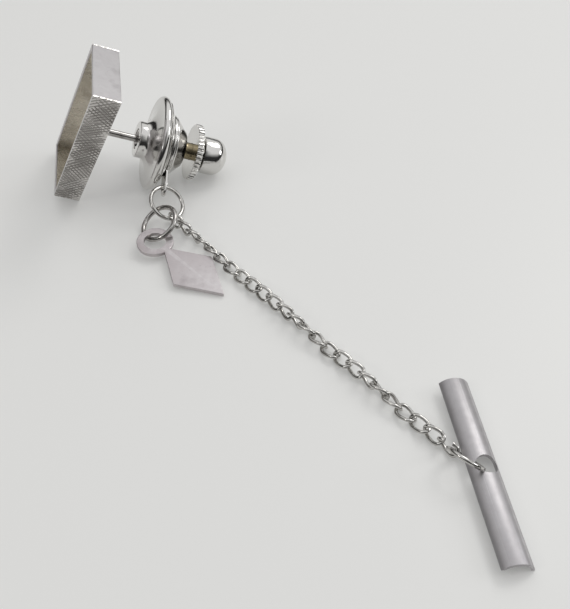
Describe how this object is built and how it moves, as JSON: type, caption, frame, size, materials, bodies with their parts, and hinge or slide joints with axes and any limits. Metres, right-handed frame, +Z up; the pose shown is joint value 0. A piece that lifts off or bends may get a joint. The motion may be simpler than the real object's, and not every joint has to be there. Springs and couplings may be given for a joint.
{
  "type": "tie tack",
  "caption": "Tie tack with an engraved parallelogram tray on a post, a ball-lock clutch with a knurled pull knob, and a curb chain to a half-round toggle bar, with a blank tag on jump rings.",
  "frame": {"origin": "middle of the footprint on the table it lies on", "axes": "+Z up from the table, +Y away from the viewer towards the tray end, +X to the right along the table; the tack lies as set down, with its chain running to the bar at +X -Y"},
  "size_m": [0.0444, 0.0512, 0.0163],
  "materials": {
    "bright_nickel": "bright polished nickel plate",
    "satin_nickel": "satin plate with fine engraving on two tray walls",
    "worn_nickel": "polished plate, darkened with wear",
    "brass": "bare brass"
  },
  "bodies": {
    "tack_pin": {"head_tray": "satin_nickel", "post_disc": "worn_nickel", "post": "worn_nickel"},
    "clutch_sleeve": {"entry_ferrule": "bright_nickel"},
    "clutch": {"front_shell": "bright_nickel", "rear_shell": "bright_nickel", "ear_plate": "bright_nickel", "rear_cone": "satin_nickel", "taper_cup": "bright_nickel", "return_spring": "bright_nickel"},
    "plunger": {"ball_cage": "brass", "plunger_stem": "brass", "knurled_disc": "bright_nickel", "pull_knob": "bright_nickel"},
    "lock_ball_a": {"lock_ball_1": "bright_nickel"},
    "lock_ball_b": {"lock_ball_2": "bright_nickel"},
    "lock_ball_c": {"lock_ball_3": "bright_nickel"},
    "ear_ring": {"jump_ring_1": "bright_nickel"},
    "tag_ring": {"jump_ring_2": "worn_nickel"},
    "tag_plate": {"tag": "satin_nickel"},
    "link_01": {"chain_link_01": "bright_nickel"},
    "link_02": {"chain_link_02": "bright_nickel"},
    "link_03": {"chain_link_03": "bright_nickel"},
    "link_04": {"chain_link_04": "bright_nickel"},
    "link_05": {"chain_link_05": "bright_nickel"},
    "link_06": {"chain_link_06": "bright_nickel"},
    "link_07": {"chain_link_07": "bright_nickel"},
    "link_08": {"chain_link_08": "bright_nickel"},
    "link_09": {"chain_link_09": "bright_nickel"},
    "link_10": {"chain_link_10": "bright_nickel"},
    "link_11": {"chain_link_11": "bright_nickel"},
    "link_12": {"chain_link_12": "bright_nickel"},
    "link_13": {"chain_link_13": "bright_nickel"},
    "link_14": {"chain_link_14": "bright_nickel"},
    "link_15": {"chain_link_15": "bright_nickel"},
    "link_16": {"chain_link_16": "bright_nickel"},
    "link_17": {"chain_link_17": "bright_nickel"},
    "link_18": {"chain_link_18": "bright_nickel"},
    "link_19": {"chain_link_19": "bright_nickel"},
    "link_20": {"chain_link_20": "bright_nickel"},
    "link_21": {"chain_link_21": "bright_nickel"},
    "link_22": {"chain_link_22": "bright_nickel"},
    "link_23": {"chain_link_23": "bright_nickel"},
    "link_24": {"chain_link_24": "bright_nickel"},
    "link_25": {"chain_link_25": "bright_nickel"},
    "toggle_ring": {"bar_ring": "bright_nickel"},
    "toggle_bar": {"t_bar": "satin_nickel"}
  },
  "joints": [
    {"name": "clutch_slide", "type": "slide", "parent": "tack_pin", "child": "clutch_sleeve", "axis": [0.9089, 0.1423, -0.392], "range_m": [-0.0024, 0.006]},
    {"name": "clutch_spin", "type": "hinge", "parent": "clutch_sleeve", "child": "clutch", "pos_m": [-0.01015, 0.02063, 0.00468], "axis": [0.9089, 0.1423, -0.392], "continuous": true},
    {"name": "plunger_pull", "type": "slide", "parent": "clutch", "child": "plunger", "axis": [0.9089, 0.1423, -0.392], "range_m": [0, 0.0007], "stiffness_N_per_m": 800, "springref_m": -0.0008, "deforming": ["return_spring"]},
    {"name": "ball_a_shift", "type": "slide", "parent": "plunger", "child": "lock_ball_a", "axis": [0.1547, -0.988, 0], "range_m": [0, 0.0001]},
    {"name": "ball_b_shift", "type": "slide", "parent": "plunger", "child": "lock_ball_b", "axis": [0.258, 0.5465, 0.7967], "range_m": [0, 0.0001]},
    {"name": "ball_c_shift", "type": "slide", "parent": "plunger", "child": "lock_ball_c", "axis": [-0.4127, 0.4415, -0.7967], "range_m": [0, 0.0001]},
    {"name": "ear_ring_swing", "type": "hinge", "parent": "clutch", "child": "ear_ring", "pos_m": [-0.00906, 0.01622, 0.00222], "axis": [0.8167, 0.4103, -0.4059], "range_deg": [-30, 30]},
    {"name": "tag_ring_swing", "type": "hinge", "parent": "ear_ring", "child": "tag_ring", "pos_m": [-0.00963, 0.0132, 0.00162], "axis": [0.6461, -0.4927, -0.5829], "range_deg": [-1, 22]},
    {"name": "tag_swing", "type": "hinge", "parent": "tag_ring", "child": "tag_plate", "pos_m": [-0.00936, 0.00996, 0.00081], "axis": [0.8865, -0.1343, 0.4428], "range_deg": [-12, 12]},
    {"name": "link_01_swing", "type": "hinge", "parent": "ear_ring", "child": "link_01", "pos_m": [-0.00823, 0.01313, 0.00069], "axis": [0.8126, 0.4255, -0.3983], "range_deg": [-18, 2]},
    {"name": "link_02_swing", "type": "hinge", "parent": "link_01", "child": "link_02", "pos_m": [-0.00706, 0.01212, 0.00073], "axis": [0.6337, 0.535, 0.5587], "range_deg": [-18, 18]},
    {"name": "link_03_swing", "type": "hinge", "parent": "link_02", "child": "link_03", "pos_m": [-0.0063, 0.01127, 0.0008], "axis": [0.5214, 0.4777, -0.7071], "range_deg": [-18, 2]},
    {"name": "link_04_swing", "type": "hinge", "parent": "link_03", "child": "link_04", "pos_m": [-0.00501, 0.00983, 0.00078], "axis": [-0.2747, -0.2304, -0.9335], "range_deg": [-18, 6]},
    {"name": "link_05_swing", "type": "hinge", "parent": "link_04", "child": "link_05", "pos_m": [-0.00424, 0.00897, 0.00074], "axis": [-0.728, -0.6633, 0.1734], "range_deg": [-18, 18]},
    {"name": "link_06_swing", "type": "hinge", "parent": "link_05", "child": "link_06", "pos_m": [-0.00296, 0.00753, 0.00064], "axis": [-0.1459, -0.1998, 0.9689], "range_deg": [-18, 18]},
    {"name": "link_07_swing", "type": "hinge", "parent": "link_06", "child": "link_07", "pos_m": [-0.00219, 0.00667, 0.00051], "axis": [0.6855, 0.5931, 0.4224], "range_deg": [-18, 18]},
    {"name": "link_08_swing", "type": "hinge", "parent": "link_07", "child": "link_08", "pos_m": [-0.0009, 0.00524, 0.00044], "axis": [0.5474, 0.5201, -0.6557], "range_deg": [-18, 18]},
    {"name": "link_09_swing", "type": "hinge", "parent": "link_08", "child": "link_09", "pos_m": [-0.00013, 0.00438, 0.00054], "axis": [-0.333, -0.3777, -0.864], "range_deg": [-18, 18]},
    {"name": "link_10_swing", "type": "hinge", "parent": "link_09", "child": "link_10", "pos_m": [0.00115, 0.00294, 0.00067], "axis": [-0.7462, -0.6575, 0.1043], "range_deg": [-18, 18]},
    {"name": "link_11_swing", "type": "hinge", "parent": "link_10", "child": "link_11", "pos_m": [0.00192, 0.00208, 0.00073], "axis": [-0.0854, -0.0352, 0.9957], "range_deg": [-18, 18]},
    {"name": "link_12_swing", "type": "hinge", "parent": "link_11", "child": "link_12", "pos_m": [0.0032, 0.00064, 0.00079], "axis": [0.6421, 0.5941, 0.4846], "range_deg": [-18, 18]},
    {"name": "link_13_swing", "type": "hinge", "parent": "link_12", "child": "link_13", "pos_m": [0.00397, -0.00021, 0.00081], "axis": [0.4695, 0.4392, -0.7659], "range_deg": [-18, 18]},
    {"name": "link_14_swing", "type": "hinge", "parent": "link_13", "child": "link_14", "pos_m": [0.00526, -0.00165, 0.00078], "axis": [-0.3381, -0.2795, -0.8986], "range_deg": [-18, 18]},
    {"name": "link_15_swing", "type": "hinge", "parent": "link_14", "child": "link_15", "pos_m": [0.00603, -0.00251, 0.00068], "axis": [-0.7469, -0.6504, -0.1386], "range_deg": [-18, 18]},
    {"name": "link_16_swing", "type": "hinge", "parent": "link_15", "child": "link_16", "pos_m": [0.00731, -0.00395, 0.0005], "axis": [-0.3424, -0.4121, 0.8444], "range_deg": [-18, 18]},
    {"name": "link_17_swing", "type": "hinge", "parent": "link_16", "child": "link_17", "pos_m": [0.00808, -0.00481, 0.00054], "axis": [0.2412, 0.3404, 0.9088], "range_deg": [-18, 18]},
    {"name": "link_18_swing", "type": "hinge", "parent": "link_17", "child": "link_18", "pos_m": [0.00936, -0.00624, 0.00074], "axis": [0.7455, 0.6665, 0], "range_deg": [-18, 18]},
    {"name": "link_19_swing", "type": "hinge", "parent": "link_18", "child": "link_19", "pos_m": [0.01013, -0.0071, 0.0008], "axis": [0.4158, 0.3739, -0.829], "range_deg": [-18, 18]},
    {"name": "link_20_swing", "type": "hinge", "parent": "link_19", "child": "link_20", "pos_m": [0.01141, -0.00854, 0.0008], "axis": [-0.3961, -0.352, -0.848], "range_deg": [-18, 18]},
    {"name": "link_21_swing", "type": "hinge", "parent": "link_20", "child": "link_21", "pos_m": [0.01218, -0.0094, 0.00073], "axis": [-0.7474, -0.6634, -0.0347], "range_deg": [-18, 18]},
    {"name": "link_22_swing", "type": "hinge", "parent": "link_21", "child": "link_22", "pos_m": [0.01346, -0.01083, 0.00053], "axis": [-0.2643, -0.362, 0.8939], "range_deg": [-18, 18]},
    {"name": "link_23_swing", "type": "hinge", "parent": "link_22", "child": "link_23", "pos_m": [0.01424, -0.0117, 0.00051], "axis": [0.3151, 0.3977, 0.8617], "range_deg": [-18, 18]},
    {"name": "link_24_swing", "type": "hinge", "parent": "link_23", "child": "link_24", "pos_m": [0.01552, -0.01313, 0.0007], "axis": [0.7484, 0.6551, -0.104], "range_deg": [-18, 18]},
    {"name": "link_25_swing", "type": "hinge", "parent": "link_24", "child": "link_25", "pos_m": [0.01629, -0.01399, 0.00079], "axis": [0.3556, 0.3067, -0.8829], "range_deg": [-18, 18]},
    {"name": "toggle_ring_swing", "type": "hinge", "parent": "link_25", "child": "toggle_ring", "pos_m": [0.01757, -0.01543, 0.00081], "axis": [-0.454, -0.4159, -0.788], "range_deg": [-15, 15]},
    {"name": "toggle_bar_swing", "type": "hinge", "parent": "toggle_ring", "child": "toggle_bar", "pos_m": [0.01936, -0.01689, 0.00089], "axis": [-0.0211, 0.6842, -0.729], "range_deg": [-2, 14]}
  ],
  "couplings": [
    {"joint": "ball_a_shift", "follows": "plunger_pull", "ratio": 0.14},
    {"joint": "ball_b_shift", "follows": "plunger_pull", "ratio": 0.14},
    {"joint": "ball_c_shift", "follows": "plunger_pull", "ratio": 0.14}
  ]
}
